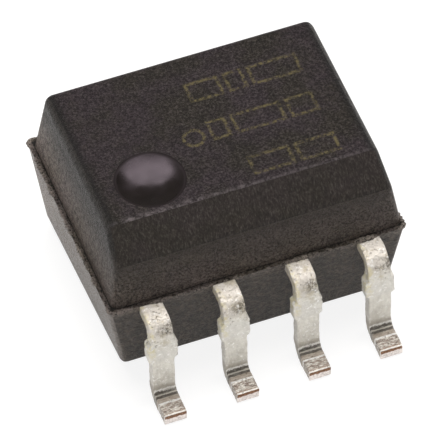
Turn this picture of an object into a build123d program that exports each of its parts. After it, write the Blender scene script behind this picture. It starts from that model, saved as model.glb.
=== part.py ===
from build123d import *

import os
from math import copysign, hypot

# An eight-lead small-outline optocoupler: a tall drafted resin body, eight formed leads, and inside it two
# emitter chips that hang face down over two detector chips, each pair joined by a clear drop of silicone.
# Millimetres. The origin is on the board under the middle of the outline, with +Z up. Leads 1 to 4 run along
# the -Y side from -X to +X, and leads 5 to 8 run back along the +Y side.

# Lead pattern
LEAD_PITCH = 1.27
LEADS_PER_SIDE = 4
END_MARGIN = 0.635
LEAD_WIDTH = 0.39
LEAD_THICKNESS = 0.20

# Resin body
BODY_WIDTH = 3.91
STANDOFF = 0.17
LOWER_HEIGHT = 1.70
UPPER_HEIGHT = 1.30
LOWER_DRAFT = 9.0
UPPER_DRAFT = 8.0
LONG_EDGE_CHAMFER = 0.48
CORNER_RADIUS = 0.10
TOP_EDGE_RADIUS = 0.08
BOTTOM_EDGE_RADIUS = 0.10

# Ledge round the parting line, where the lower half stands out past the upper one, and the skin of resin
# that it carries over the leads. The halves of the mould are a little offset, so one end has less of it.
LEDGE_WIDTH = 0.09
LEDGE_WIDTH_AT_LAST_LEAD = 0.03
LEDGE_SKIN = 0.02

# First-lead dimple in the top, and the ejector mark underneath
DIMPLE_RADIUS = 0.60
DIMPLE_DEPTH = 0.13
DIMPLE_FROM_END = 1.185
DIMPLE_FROM_FRONT = 1.355
EJECTOR_RADIUS = 0.50
EJECTOR_DEPTH = 0.03

# Gull wing
SHOULDER_REACH = 0.61
FOOT_LENGTH = 0.725
SHOULDER_BEND = 0.11
HEEL_BEND = 0.13
STUB_SIDE = 0.055
STUB_HEIGHT = 0.34
STUB_SLOPE = 0.05
STUB_CENTRE = 1.20

# Chips, their bonds and the clear drop between them
CHANNEL_GAP = 0.70
EMITTER_SIZE = 0.30
EMITTER_HEIGHT = 0.18
DETECTOR_LENGTH = 0.90
DETECTOR_WIDTH = 0.80
DETECTOR_HEIGHT = 0.25
DIE_BOND = 0.02
DIE_BOND_MARGIN = 0.03
OPTICAL_GAP = 0.25
GUIDE_CLEARANCE = 0.02
GUIDE_BULGE = 0.04
GUIDE_SHOULDER_SHARE = 0.25

# Inner ends of the leads
DETECTOR_PAD_DROP = 0.33
JOGGLE_FROM_WALL = 0.45
JOGGLE_RUN = 0.35
JOGGLE_BEND = 0.08
FRAME_GAP = 0.20
EMITTER_PAD_LENGTH = 0.66
EMITTER_PAD_WIDTH = 0.72
STITCH_TAB_WIDTH = 0.46
STITCH_TAB_DEPTH = 0.34
PADDLE_MARGIN = 0.10
GROUND_RUN = 0.24

# Bond wires
WIRE_DIAMETER = 0.03
WIRE_SIDES = 8
BALL_RADIUS = 0.04
BALL_HEIGHT = 0.02
WIRE_RISE = 0.14
EMITTER_WIRE_RISE = 0.11
WIRE_BEND = 0.04
PAD_FROM_EDGE = 0.09
PAD_SPACING = 0.16
EMITTER_PAD_FROM_EDGE = 0.06
STITCH_FROM_END = 0.12

# Values that follow from those above
body_length = (LEADS_PER_SIDE - 1) * LEAD_PITCH + 2 * END_MARGIN
half_length = body_length / 2
half_width = BODY_WIDTH / 2
parting_z = STANDOFF + LOWER_HEIGHT
top_z = parting_z + UPPER_HEIGHT
frame_z = parting_z - LEDGE_SKIN - LEAD_THICKNESS / 2
first_lead_x = -(LEADS_PER_SIDE - 1) * LEAD_PITCH / 2

drop_y = half_width + SHOULDER_REACH - LEAD_THICKNESS / 2
toe_y = half_width + SHOULDER_REACH - LEAD_THICKNESS + FOOT_LENGTH

detector_pad_z = frame_z - DETECTOR_PAD_DROP
paddle_top = detector_pad_z + LEAD_THICKNESS / 2
detector_top = paddle_top + DIE_BOND + DETECTOR_HEIGHT
emitter_face = detector_top + OPTICAL_GAP
emitter_pad_underside = emitter_face + EMITTER_HEIGHT + DIE_BOND
emitter_pad_z = emitter_pad_underside + LEAD_THICKNESS / 2
channel_x = (CHANNEL_GAP + DETECTOR_LENGTH) / 2

emitter_tab_inner_x = channel_x + EMITTER_PAD_LENGTH / 2 + FRAME_GAP
inner_pad_x = CHANNEL_GAP / 2 + PAD_FROM_EDGE
guide_radius = DETECTOR_LENGTH / 2 - PAD_FROM_EDGE - BALL_RADIUS - GUIDE_CLEARANCE
paddle_half_width = DETECTOR_WIDTH / 2 + PADDLE_MARGIN
paddle_half_length = channel_x + DETECTOR_LENGTH / 2 + PADDLE_MARGIN
output_tab_y = paddle_half_width + FRAME_GAP


def lead_x(column):
    """Middle of the lead in a column, counted from the -X end."""
    return first_lead_x + column * LEAD_PITCH


def drafted_block(length, width, height, draft):
    """Block on the parting plane, of a given size there, that narrows upwards on all four sides."""
    return extrude(Plane.XY * Rectangle(length, width), amount=height, taper=draft)


def upper_half():
    """Upper half of the body, with its long chamfer on the first-lead side and its soft edges."""
    block = drafted_block(body_length, BODY_WIDTH, UPPER_HEIGHT, UPPER_DRAFT)
    top_edges = block.edges().group_by(Axis.Z)[-1]
    front_edge = top_edges.sort_by(Axis.Y)[0]
    block = chamfer(front_edge, LONG_EDGE_CHAMFER)
    upright = [edge for edge in block.edges() if edge.bounding_box().size.Z > LONG_EDGE_CHAMFER / 2]
    block = fillet(upright, CORNER_RADIUS)
    rim = block.faces().sort_by(Axis.Z)[-1].edges()
    block = fillet(rim, TOP_EDGE_RADIUS)
    return Pos(0, 0, parting_z) * block


def lower_half():
    """Lower half of the body, wider by the ledge, with its soft bottom edges and the mark of the ejector pin."""
    length = body_length + LEDGE_WIDTH + LEDGE_WIDTH_AT_LAST_LEAD
    block = drafted_block(length, BODY_WIDTH + 2 * LEDGE_WIDTH, LOWER_HEIGHT, LOWER_DRAFT)
    upright = [edge for edge in block.edges() if edge.bounding_box().size.Z > LOWER_HEIGHT / 2]
    block = fillet(upright, CORNER_RADIUS)
    rim = block.faces().sort_by(Axis.Z)[-1].edges()
    block = fillet(rim, BOTTOM_EDGE_RADIUS)
    mark = extrude(Plane.XY * Circle(EJECTOR_RADIUS), amount=EJECTOR_DEPTH)
    block -= Pos(0, 0, LOWER_HEIGHT - EJECTOR_DEPTH) * mark
    offset = (LEDGE_WIDTH_AT_LAST_LEAD - LEDGE_WIDTH) / 2
    return Pos(offset, 0, parting_z) * (Rot(180, 0, 0) * block)


def dimple():
    """Ball that leaves the shallow round dimple beside the first lead."""
    ball_radius = (DIMPLE_RADIUS**2 + DIMPLE_DEPTH**2) / (2 * DIMPLE_DEPTH)
    x = DIMPLE_FROM_END - half_length
    y = DIMPLE_FROM_FRONT - half_width
    return Pos(x, y, top_z - DIMPLE_DEPTH + ball_radius) * Sphere(ball_radius)


def formed_strip(inner_y, inner_z, width):
    """Strip of one lead from its inner end, over the joggle, out of the body and down to the toe, at y below 0."""
    wall_y = -half_width
    joggle_y = wall_y + JOGGLE_FROM_WALL
    route = FilletPolyline(
        (inner_y, inner_z),
        (joggle_y + JOGGLE_RUN, inner_z),
        (joggle_y, frame_z),
        (-drop_y, frame_z),
        (-drop_y, LEAD_THICKNESS / 2),
        (-toe_y, LEAD_THICKNESS / 2),
        radius=[
            JOGGLE_BEND + LEAD_THICKNESS / 2,
            JOGGLE_BEND + LEAD_THICKNESS / 2,
            SHOULDER_BEND + LEAD_THICKNESS / 2,
            HEEL_BEND + LEAD_THICKNESS / 2,
        ],
    )
    side = Plane.YZ * trace(route, LEAD_THICKNESS)
    return extrude(side, amount=width / 2, both=True)


def dambar_stubs():
    """The wider stretch of the drop, where the bar that tied the leads together was cut away."""
    low = STUB_CENTRE - STUB_HEIGHT / 2
    high = STUB_CENTRE + STUB_HEIGHT / 2
    edge = LEAD_WIDTH / 2
    outline = Polygon(
        (-edge, low - STUB_SLOPE),
        (-edge - STUB_SIDE, low),
        (-edge - STUB_SIDE, high),
        (-edge, high + STUB_SLOPE),
        (edge, high + STUB_SLOPE),
        (edge + STUB_SIDE, high),
        (edge + STUB_SIDE, low),
        (edge, low - STUB_SLOPE),
        align=None,
    )
    plate = extrude(Plane.XZ * outline, amount=LEAD_THICKNESS / 2, both=True)
    return Pos(0, -drop_y, 0) * plate


def outline_box(x_low, x_high, y_low, y_high):
    """Upright prism over a rectangle of the leadframe's plan, tall enough for every level of it."""
    plan = Rectangle(x_high - x_low, y_high - y_low)
    return Pos((x_low + x_high) / 2, (y_low + y_high) / 2, 0) * extrude(plan, amount=top_z)


def lead(x, inner_y, inner_z, pads):
    """One lead at y below 0: the strip, cut to the plan of its finger and its pads, with its dambar stubs."""
    reach = body_length + LEAD_PITCH
    strip = Pos(x, 0, 0) * formed_strip(inner_y, inner_z, 2 * reach)
    plan = outline_box(x - LEAD_WIDTH / 2, x + LEAD_WIDTH / 2, -toe_y, inner_y)
    for pad in pads:
        plan += outline_box(*pad)
    return (strip & plan) + Pos(x, 0, 0) * dambar_stubs()


def emitter_leads():
    """Leads 1 to 4: two carry the emitter chips on raised pads, and the outer two take their wires."""
    half_pad = EMITTER_PAD_WIDTH / 2
    pad_low = channel_x - EMITTER_PAD_LENGTH / 2
    pad_high = channel_x + EMITTER_PAD_LENGTH / 2
    outer_x = lead_x(LEADS_PER_SIDE - 1)
    inner_x = lead_x(LEADS_PER_SIDE - 2)
    tab = (emitter_tab_inner_x, outer_x + LEAD_WIDTH / 2, -half_pad, -half_pad + STITCH_TAB_DEPTH)
    pad = (pad_low, pad_high, -half_pad, half_pad)
    lead_4 = lead(outer_x, -half_pad + STITCH_TAB_DEPTH, emitter_pad_z, [tab])
    lead_3 = lead(inner_x, half_pad, emitter_pad_z, [pad])
    return {
        "lead_1": mirror(lead_4, about=Plane.YZ),
        "lead_2": mirror(lead_3, about=Plane.YZ),
        "lead_3": lead_3,
        "lead_4": lead_4,
    }


def detector_leads():
    """Leads 5 to 8: lead 5 carries both detector chips on its paddle, and the others end in wire tabs."""
    outer_x = lead_x(LEADS_PER_SIDE - 1)
    inner_x = lead_x(LEADS_PER_SIDE - 2)
    tab_end = -output_tab_y
    tab_root = tab_end - STITCH_TAB_DEPTH
    paddle = (-paddle_half_length, outer_x + LEAD_WIDTH / 2, -paddle_half_width, paddle_half_width)
    centre_tab = (inner_x - STITCH_TAB_WIDTH / 2, inner_x + STITCH_TAB_WIDTH / 2, tab_root, tab_end)
    corner_tab = (outer_x + LEAD_WIDTH / 2 - STITCH_TAB_WIDTH, outer_x + LEAD_WIDTH / 2, tab_root, tab_end)
    ground = lead(outer_x, paddle_half_width, detector_pad_z, [paddle])
    output = lead(inner_x, tab_end, detector_pad_z, [centre_tab])
    supply = lead(outer_x, tab_end, detector_pad_z, [corner_tab])
    return {
        "lead_5": mirror(ground, about=Plane.XZ),
        "lead_6": mirror(output, about=Plane.XZ),
        "lead_7": Rot(0, 0, 180) * output,
        "lead_8": Rot(0, 0, 180) * supply,
    }


def slab(length, width, height, x, bottom):
    """Rectangular chip or bond centred on a channel, with its underside at a given height."""
    return Pos(x, 0, bottom + height / 2) * Box(length, width, height)


def channel_chips(number, x):
    """One channel's emitter and detector chips and the die bonds that hold them to their pads."""
    emitter_bond = EMITTER_SIZE + 2 * DIE_BOND_MARGIN
    detector_bond = (DETECTOR_LENGTH + 2 * DIE_BOND_MARGIN, DETECTOR_WIDTH + 2 * DIE_BOND_MARGIN)
    return {
        f"emitter_chip_{number}": slab(EMITTER_SIZE, EMITTER_SIZE, EMITTER_HEIGHT, x, emitter_face),
        f"emitter_bond_{number}": slab(
            emitter_bond, emitter_bond, DIE_BOND, x, emitter_face + EMITTER_HEIGHT
        ),
        f"detector_chip_{number}": slab(
            DETECTOR_LENGTH, DETECTOR_WIDTH, DETECTOR_HEIGHT, x, paddle_top + DIE_BOND
        ),
        f"detector_bond_{number}": slab(*detector_bond, DIE_BOND, x, paddle_top),
    }


def light_guide(x):
    """Clear barrel-shaped drop that fills the optical gap and wraps the emitter chip."""
    low, high = detector_top, emitter_pad_underside
    end_radius = guide_radius - GUIDE_BULGE
    shoulder = (high - low) * GUIDE_SHOULDER_SHARE
    profile = Polyline(
        (0, low),
        (end_radius, low),
        (guide_radius, low + shoulder),
        (guide_radius, high - shoulder),
        (end_radius, high),
        (0, high),
        close=True,
    )
    return Pos(x, 0, 0) * revolve(make_face(Plane.XZ * profile), axis=Axis.Z)


def wire_along(route, ball_planes):
    """Fine wire along a route of straight runs with mitred corners, with a flattened ball at each given plane."""
    section = ball_planes[0] * RegularPolygon(WIRE_DIAMETER / 2, WIRE_SIDES)
    wire = sweep(section, path=route, transition=Transition.RIGHT)
    for plane in ball_planes:
        wire += extrude(plane * RegularPolygon(BALL_RADIUS, WIRE_SIDES), amount=BALL_HEIGHT)
    return wire


def bond_wire(start, end, rise):
    """Wire from a ball bond at start, square to its chip and then at a slant to its stitch bond at end.

    A negative rise makes it hang down from its chip. It runs a little past end, to be trimmed by the lead.
    """
    run_x, run_y = end[0] - start[0], end[1] - start[1]
    run = hypot(run_x, run_y)
    fall = end[2] - start[2] - rise
    past = 1 + WIRE_DIAMETER / hypot(run, fall)
    bend = copysign(WIRE_BEND, rise)
    side_plane = Plane(origin=start, x_dir=(run_x, run_y, 0), z_dir=(run_y, -run_x, 0))
    route = side_plane * Polyline(
        (0, 0),
        (0, rise - bend),
        (WIRE_BEND, rise + fall * WIRE_BEND / run),
        (run * past, rise + fall * past),
    )
    return wire_along(route, [Plane(origin=start, z_dir=(0, 0, rise))])


def bridge_wire(start, end, rise):
    """Wire along X between two chips of one height, with a ball bond at each end."""
    route = Polyline(
        start,
        (start[0], start[1], start[2] + rise - WIRE_BEND),
        (start[0] + WIRE_BEND, start[1], start[2] + rise),
        (end[0] - WIRE_BEND, end[1], end[2] + rise),
        (end[0], end[1], end[2] + rise - WIRE_BEND),
        end,
    )
    return wire_along(route, [Plane(origin=start), Plane(origin=end)])


def channel_wires(number, side, leads):
    """One channel's emitter, output and ground wires, each trimmed where it meets its lead."""
    tab_y = -EMITTER_PAD_WIDTH / 2 + STITCH_TAB_DEPTH / 2
    emitter_ball_x = channel_x + EMITTER_SIZE / 2 - EMITTER_PAD_FROM_EDGE
    emitter_start = (side * emitter_ball_x, 0, emitter_face)
    emitter_end = (side * (emitter_tab_inner_x + STITCH_FROM_END), tab_y, emitter_pad_underside)
    emitter_wire = bond_wire(emitter_start, emitter_end, -EMITTER_WIRE_RISE)

    output_start = (side * inner_pad_x, DETECTOR_WIDTH / 2 - PAD_FROM_EDGE, detector_top)
    output_end = (side * lead_x(LEADS_PER_SIDE - 2), output_tab_y + STITCH_FROM_END, paddle_top)
    output_wire = bond_wire(output_start, output_end, WIRE_RISE)

    ground_y = PAD_FROM_EDGE - DETECTOR_WIDTH / 2
    ground_start = (side * inner_pad_x, ground_y, detector_top)
    ground_end = (side * (CHANNEL_GAP / 2 - GROUND_RUN), ground_y, paddle_top)
    ground_wire = bond_wire(ground_start, ground_end, WIRE_RISE)

    emitter_lead = leads["lead_4" if side > 0 else "lead_1"]
    output_lead = leads["lead_6" if side > 0 else "lead_7"]
    return {
        f"emitter_wire_{number}": emitter_wire - emitter_lead,
        f"output_wire_{number}": output_wire - output_lead,
        f"ground_wire_{number}": ground_wire - leads["lead_5"],
    }


def supply_wires(leads):
    """The supply wire from lead 8 to the first detector, and the one that passes it on to the second."""
    outer_edge = -channel_x - DETECTOR_LENGTH / 2
    pad_y = DETECTOR_WIDTH / 2 - PAD_FROM_EDGE
    tab_x = first_lead_x - LEAD_WIDTH / 2 + STITCH_TAB_WIDTH - STITCH_FROM_END
    start = (outer_edge + PAD_FROM_EDGE, pad_y, detector_top)
    end = (tab_x, output_tab_y + STITCH_FROM_END, paddle_top)
    bridge_y = pad_y - PAD_SPACING
    return {
        "supply_wire_1": bond_wire(start, end, WIRE_RISE) - leads["lead_8"],
        "supply_wire_2": bridge_wire(
            (-inner_pad_x, bridge_y, detector_top), (inner_pad_x, bridge_y, detector_top), WIRE_RISE
        ),
    }


leads = {**emitter_leads(), **detector_leads()}

chips = {}
wires = supply_wires(leads)
guides = {}
for number, side in ((1, -1), (2, 1)):
    chips.update(channel_chips(number, side * channel_x))
    wires.update(channel_wires(number, side, leads))
    guides[f"light_guide_{number}"] = light_guide(side * channel_x)

moulding = upper_half() + lower_half() - dimple()
for piece in [*leads.values(), *chips.values(), *guides.values(), *wires.values()]:
    moulding -= piece

for number in (1, 2):
    name = f"light_guide_{number}"
    guides[name] -= chips[f"emitter_chip_{number}"]
    guides[name] -= chips[f"emitter_bond_{number}"]
    guides[name] -= wires[f"emitter_wire_{number}"]

os.makedirs("parts", exist_ok=True)
pieces = {"moulded_body": moulding, **leads, **chips, **guides, **wires}
for name, piece in pieces.items():
    export_step(piece, f"parts/{name}.step")
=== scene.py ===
from math import cos, pi, radians, sin, tan

import bmesh
import bpy
from mathutils import Matrix, Vector, noise


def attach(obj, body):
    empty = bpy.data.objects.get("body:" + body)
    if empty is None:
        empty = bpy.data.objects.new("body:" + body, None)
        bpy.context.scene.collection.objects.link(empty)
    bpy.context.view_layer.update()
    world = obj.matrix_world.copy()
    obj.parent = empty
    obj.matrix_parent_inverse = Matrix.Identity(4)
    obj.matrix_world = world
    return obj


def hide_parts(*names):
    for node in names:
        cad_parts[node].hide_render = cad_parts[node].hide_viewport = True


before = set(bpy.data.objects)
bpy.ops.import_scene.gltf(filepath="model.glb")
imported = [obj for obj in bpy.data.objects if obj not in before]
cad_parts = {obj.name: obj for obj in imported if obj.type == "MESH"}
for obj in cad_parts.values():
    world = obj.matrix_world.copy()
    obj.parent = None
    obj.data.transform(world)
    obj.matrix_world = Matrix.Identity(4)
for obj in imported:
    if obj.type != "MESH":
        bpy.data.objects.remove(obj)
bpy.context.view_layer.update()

# The view of the photograph: a long lens that looks down at the first-lead corner from the front left. Its
# place and its turn were fitted to the corners, the edges and the leads that the photograph shows.
MM = 0.001
VIEW_ELEVATION = radians(49.44)
VIEW_AZIMUTH = radians(-19.15)
VIEW_ROLL = radians(-1.74)
VIEW_DISTANCE = 106.87 * MM
VIEW_CENTRE = Vector((-0.141, -0.614, 1.600)) * MM
LENS = 523.8
SENSOR = 36
CLIP_FACTOR = 100

towards_camera = Vector(
    (
        sin(VIEW_AZIMUTH) * cos(VIEW_ELEVATION),
        -cos(VIEW_AZIMUTH) * cos(VIEW_ELEVATION),
        sin(VIEW_ELEVATION),
    )
)
camera_data = bpy.data.cameras.new("camera")
camera_data.lens = LENS
camera_data.sensor_width = SENSOR
camera_data.clip_start = VIEW_DISTANCE / CLIP_FACTOR
camera_data.clip_end = VIEW_DISTANCE * CLIP_FACTOR
camera = bpy.data.objects.new("camera", camera_data)
upright = (-towards_camera).to_track_quat("-Z", "Y").to_matrix().to_4x4()
rolled = upright @ Matrix.Rotation(VIEW_ROLL, 4, "Z")
camera.matrix_world = Matrix.Translation(VIEW_CENTRE + towards_camera * VIEW_DISTANCE) @ rolled
bpy.context.scene.collection.objects.link(camera)
bpy.context.scene.camera = camera
bpy.context.scene.view_settings.view_transform = "Standard"

# Studio light: a soft box above and behind the part and a low white card in front of it, in a dark room. The
# pale floor lights the sides.
LIGHT_DISTANCE = 0.3
SOFTBOX_SIZE = (0.32, 0.22)
SOFTBOX_RADIANCE = 8.0
SOFTBOX_ELEVATION = radians(109)
CARD_SIZE = (0.6, 0.2)
CARD_RADIANCE = 0.9
CARD_ELEVATION = radians(20)
LIGHT_COLOUR = (1.0, 0.97, 0.93)
ROOM_RADIANCE = 0.18


def soft_light(name, shape, size, area, radiance, elevation):
    """Evenly bright shape that faces the part, at an elevation measured from the camera's side."""
    data = bpy.data.lights.new(name, "AREA")
    data.shape = shape
    data.size, data.size_y = size
    data.energy = radiance * pi * area
    data.color = LIGHT_COLOUR
    light = bpy.data.objects.new(name, data)
    direction = Matrix.Rotation(VIEW_AZIMUTH, 4, "Z") @ Matrix.Rotation(pi / 2 - elevation, 4, "X")
    light.matrix_world = direction @ Matrix.Translation((0, 0, LIGHT_DISTANCE))
    light.visible_camera = False
    bpy.context.scene.collection.objects.link(light)


softbox_area = pi / 4 * SOFTBOX_SIZE[0] * SOFTBOX_SIZE[1]
card_area = CARD_SIZE[0] * CARD_SIZE[1]
soft_light("softbox", "ELLIPSE", SOFTBOX_SIZE, softbox_area, SOFTBOX_RADIANCE, SOFTBOX_ELEVATION)
soft_light("white card", "RECTANGLE", CARD_SIZE, card_area, CARD_RADIANCE, CARD_ELEVATION)

world = bpy.data.worlds.new("room")
bpy.context.scene.world = world
world.use_nodes = True
world.node_tree.nodes["Background"].inputs["Color"].default_value = (1, 1, 1, 1)
world.node_tree.nodes["Background"].inputs["Strength"].default_value = ROOM_RADIANCE


# Moulded body: one piece of black epoxy, filled with silica and cast round the leads in a mould of two parts.
# It leans in both ways from the parting line, where the lower half stands out as a ledge. A polished pin left
# the dimple beside the first lead, and a laser has marked the top. Sizes are in millimetres.
PARTING_Z = 1.87
TOP_Z = 3.17
BOTTOM_Z = 0.17
UPPER_X, UPPER_Y = (-2.54, 2.54), (-1.955, 1.955)
LOWER_X, LOWER_Y = (-2.63, 2.57), (-2.045, 2.045)
UPPER_DRAFT = radians(8)
LOWER_DRAFT = radians(9)
CHAMFER = 0.48
EDGE_ROUNDING = 0.15
EDGE_SEGMENTS = 6
END_ZONE_X = 2
LEFT_BULGE = 0.09
RIGHT_BULGE = 0.04
BULGE_FRONT_SHARE = 0.5
BULGE_LENGTH = 3.6
DIMPLE_CENTRE = (-1.355, -0.60)
DIMPLE_RADIUS = 0.60
DIMPLE_DEPTH = 0.13
DIMPLE_RINGS = 14
DIMPLE_SIDES = 72
EJECTOR_RADIUS = 0.50
EJECTOR_DEPTH = 0.03
EJECTOR_FLARE = 0.01
EJECTOR_SIDES = 64
BODY_SHARP_ANGLE = radians(20)


def drafted_half(x_range, y_range, end_z, draft):
    """One half of the body: a box that is open at the parting line and leans in towards its end."""
    half = bmesh.new()
    bmesh.ops.create_cube(half, size=1)
    lean = abs(end_z - PARTING_Z) * tan(draft)
    for corner in half.verts:
        at_end = corner.co.z < 0
        inset = lean if at_end else 0
        x = x_range[1] - inset if corner.co.x > 0 else x_range[0] + inset
        y = y_range[1] - inset if corner.co.y > 0 else y_range[0] + inset
        corner.co = (x, y, end_z if at_end else PARTING_Z)
    parting_face = min(half.faces, key=lambda face: abs(face.calc_center_median().z - PARTING_Z))
    bmesh.ops.delete(half, geom=[parting_face], context="FACES_ONLY")
    bmesh.ops.recalc_face_normals(half, faces=half.faces)
    return half


def rounded(mesh, weigh):
    """The mesh with its edges rounded, each by a share of the full width told from its faces' normals."""
    mesh.normal_update()
    share = mesh.edges.layers.float.new("bevel_weight_edge")
    for edge in mesh.edges:
        if len(edge.link_faces) == 2:
            first, second = (face.normal for face in edge.link_faces)
            edge[share] = max(weigh(first, second), weigh(second, first))
    blank_data = bpy.data.meshes.new("blank")
    mesh.to_mesh(blank_data)
    mesh.free()
    blank = bpy.data.objects.new("blank", blank_data)
    bpy.context.scene.collection.objects.link(blank)
    rounding = blank.modifiers.new("rounding", "BEVEL")
    rounding.width = EDGE_ROUNDING
    rounding.segments = EDGE_SEGMENTS
    rounding.limit_method = "WEIGHT"
    rounding.use_clamp_overlap = False
    finished = blank.evaluated_get(bpy.context.evaluated_depsgraph_get())
    shaped = bmesh.new()
    shaped.from_mesh(bpy.data.meshes.new_from_object(finished))
    bpy.data.objects.remove(blank)
    shaped.normal_update()
    return shaped


# Shares of the full rounding of an edge. FACING, SLOPING and LEVEL are parts of a normal along an axis, past
# which its face counts as facing that way, as sloping that way and as level.
END_TOP_SHARE = 1.0
END_CORNER_SHARE = 0.85
BACK_TOP_SHARE = 0.6
CHAMFER_TOP_SHARE = 0.25
CHAMFER_FRONT_SHARE = 0.7
BOTTOM_SHARE = 0.65
LOWER_CORNER_SHARE = 0.75
FACING = 0.9
SLOPING = 0.5
LEVEL = 0.96


def upper_share(a, b):
    """How much an edge of the upper half is rounded, from the normals of its two faces."""
    if abs(a.x) > FACING and abs(b.x) < SLOPING:
        return END_TOP_SHARE if b.z > FACING else END_CORNER_SHARE
    if a.z > FACING and b.y > FACING:
        return BACK_TOP_SHARE
    if a.z > FACING and b.y < -SLOPING:
        return CHAMFER_TOP_SHARE
    if SLOPING < a.z < FACING and b.y < -FACING:
        return CHAMFER_FRONT_SHARE
    return 0


def lower_share(a, b):
    """How much an edge of the lower half is rounded, from the normals of its two faces."""
    if a.z < -FACING and b.z > -FACING:
        return BOTTOM_SHARE
    return LOWER_CORNER_SHARE if abs(a.x) > FACING and abs(b.y) > FACING else 0


def sink(mesh, upward, centre, profile, sides):
    """Round hollow in the flat face that faces up or down, from its radius and depth at each step."""
    flat = max(mesh.faces, key=lambda face: upward * face.normal.z * face.calc_area())
    middle = Matrix.Translation((*centre, flat.calc_center_median().z))
    border = list(flat.edges)
    bmesh.ops.delete(mesh, geom=[flat], context="FACES_ONLY")
    radius, depth = profile[0]
    bmesh.ops.create_circle(mesh, cap_ends=False, radius=radius, segments=sides, matrix=middle)
    ring = [edge for edge in mesh.edges if edge.is_wire]
    bmesh.ops.triangle_fill(mesh, edges=border + ring, use_beauty=True)
    outside = set(mesh.faces)
    for next_radius, next_depth in profile[1:]:
        made = bmesh.ops.extrude_edge_only(mesh, edges=ring)["geom"]
        points = [item for item in made if isinstance(item, bmesh.types.BMVert)]
        ring = [item for item in made if isinstance(item, bmesh.types.BMEdge) and item.is_boundary]
        ratio = next_radius / radius
        bmesh.ops.scale(mesh, vec=(ratio, ratio, 1), space=middle.inverted(), verts=points)
        bmesh.ops.translate(mesh, vec=(0, 0, upward * (depth - next_depth)), verts=points)
        radius, depth = next_radius, next_depth
    bmesh.ops.contextual_create(mesh, geom=ring)
    return [face for face in mesh.faces if face not in outside]


def finish_piece(mesh, name, materials, replaced, sharp_angle):
    """Object of the part in metres from a mesh in millimetres, its faces outward and softly shaded."""
    bmesh.ops.recalc_face_normals(mesh, faces=mesh.faces)
    for face in mesh.faces:
        face.smooth = True
    for edge in mesh.edges:
        edge.smooth = len(edge.link_faces) == 2 and edge.calc_face_angle(0) < sharp_angle
    bmesh.ops.scale(mesh, vec=(MM, MM, MM), verts=mesh.verts)
    data = bpy.data.meshes.new(name)
    mesh.to_mesh(data)
    mesh.free()
    for material in materials:
        data.materials.append(material)
    piece = bpy.data.objects.new(name, data)
    bpy.context.scene.collection.objects.link(piece)
    shading = piece.modifiers.new("even shading", "WEIGHTED_NORMAL")
    shading.keep_sharp = True
    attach(piece, "root")
    if replaced:
        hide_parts(replaced)


body = drafted_half(UPPER_X, UPPER_Y, TOP_Z, UPPER_DRAFT)
middle_z = (PARTING_Z + TOP_Z) / 2
top_front = [point for point in body.verts if point.co.y < 0 and point.co.z > middle_z]
front_edge = body.edges.get(top_front)
bmesh.ops.bevel(body, geom=[front_edge], offset=CHAMFER, affect="EDGES", segments=1, profile=0.5, material=-1)
body = rounded(body, upper_share)

ball_radius = (DIMPLE_RADIUS**2 + DIMPLE_DEPTH**2) / (2 * DIMPLE_DEPTH)
dimple_profile = []
for step in range(DIMPLE_RINGS):
    radius = DIMPLE_RADIUS * (1 - step / DIMPLE_RINGS)
    dimple_profile.append((radius, DIMPLE_DEPTH - ball_radius + (ball_radius**2 - radius**2) ** 0.5))
ejector_profile = [(EJECTOR_RADIUS + EJECTOR_FLARE, 0), (EJECTOR_RADIUS, EJECTOR_DEPTH)]

TOP_FINISH, DIMPLE_FINISH, LEDGE_FINISH, SIDE_FINISH, CHAMFER_FINISH = range(5)
UPPER_END_FINISH, LOWER_END_FINISH = 5, 6
for face in sink(body, 1, DIMPLE_CENTRE, dimple_profile, DIMPLE_SIDES):
    face.material_index = DIMPLE_FINISH

lower = rounded(drafted_half(LOWER_X, LOWER_Y, BOTTOM_Z, LOWER_DRAFT), lower_share)
sink(lower, -1, (0, 0), ejector_profile, EJECTOR_SIDES)
for vertex in lower.verts:
    depth = (PARTING_Z - vertex.co.z) / (PARTING_Z - BOTTOM_Z)
    if vertex.co.x < -END_ZONE_X:
        vertex.co.x -= LEFT_BULGE * depth * max(0, vertex.co.y / BULGE_LENGTH + BULGE_FRONT_SHARE) ** 2
    elif vertex.co.x > END_ZONE_X:
        vertex.co.x += RIGHT_BULGE * depth
lower_data = bpy.data.meshes.new("lower half")
lower.to_mesh(lower_data)
lower.free()
body.from_mesh(lower_data)
open_edges = [edge for edge in body.edges if edge.is_boundary]
for face in bmesh.ops.bridge_loops(body, edges=open_edges)["faces"]:
    face.material_index = LEDGE_FINISH


def outer_finish(face):
    """Finish of a face of the outside, from the way it faces."""
    if abs(face.normal.x) > SLOPING:
        return UPPER_END_FINISH if face.calc_center_median().z > PARTING_Z else LOWER_END_FINISH
    if face.normal.z < SLOPING:
        return SIDE_FINISH
    if face.normal.z < LEVEL and face.normal.y < -SLOPING:
        return CHAMFER_FINISH
    return TOP_FINISH


for face in body.faces:
    if face.material_index == TOP_FINISH:
        face.material_index = outer_finish(face)


def add(tree, kind, sockets=None, **settings):
    """New shader node with its sockets set to values or joined to other nodes' outputs."""
    node = tree.nodes.new("ShaderNode" + kind)
    for key, value in settings.items():
        setattr(node, key, value)
    for key, value in (sockets or {}).items():
        if isinstance(value, bpy.types.NodeSocket):
            tree.links.new(value, node.inputs[key])
        else:
            node.inputs[key].default_value = value
    return node


def calc(tree, operation, *values, clamp=False):
    """Result of an operation on up to three numbers."""
    return add(tree, "Math", dict(enumerate(values)), operation=operation, use_clamp=clamp).outputs[0]


def product(tree, first, *others):
    """Product of two or more numbers."""
    for other in others:
        first = calc(tree, "MULTIPLY", first, other)
    return first


def ramp(tree, value, low, high):
    """0 where the value is at low or short of it, 1 from high on, and a straight ramp between them."""
    return add(tree, "MapRange", {"Value": value, "From Min": low, "From Max": high}).outputs[0]


def axes(tree, place):
    """The three coordinates of a place."""
    return add(tree, "SeparateXYZ", {0: place}).outputs


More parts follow.
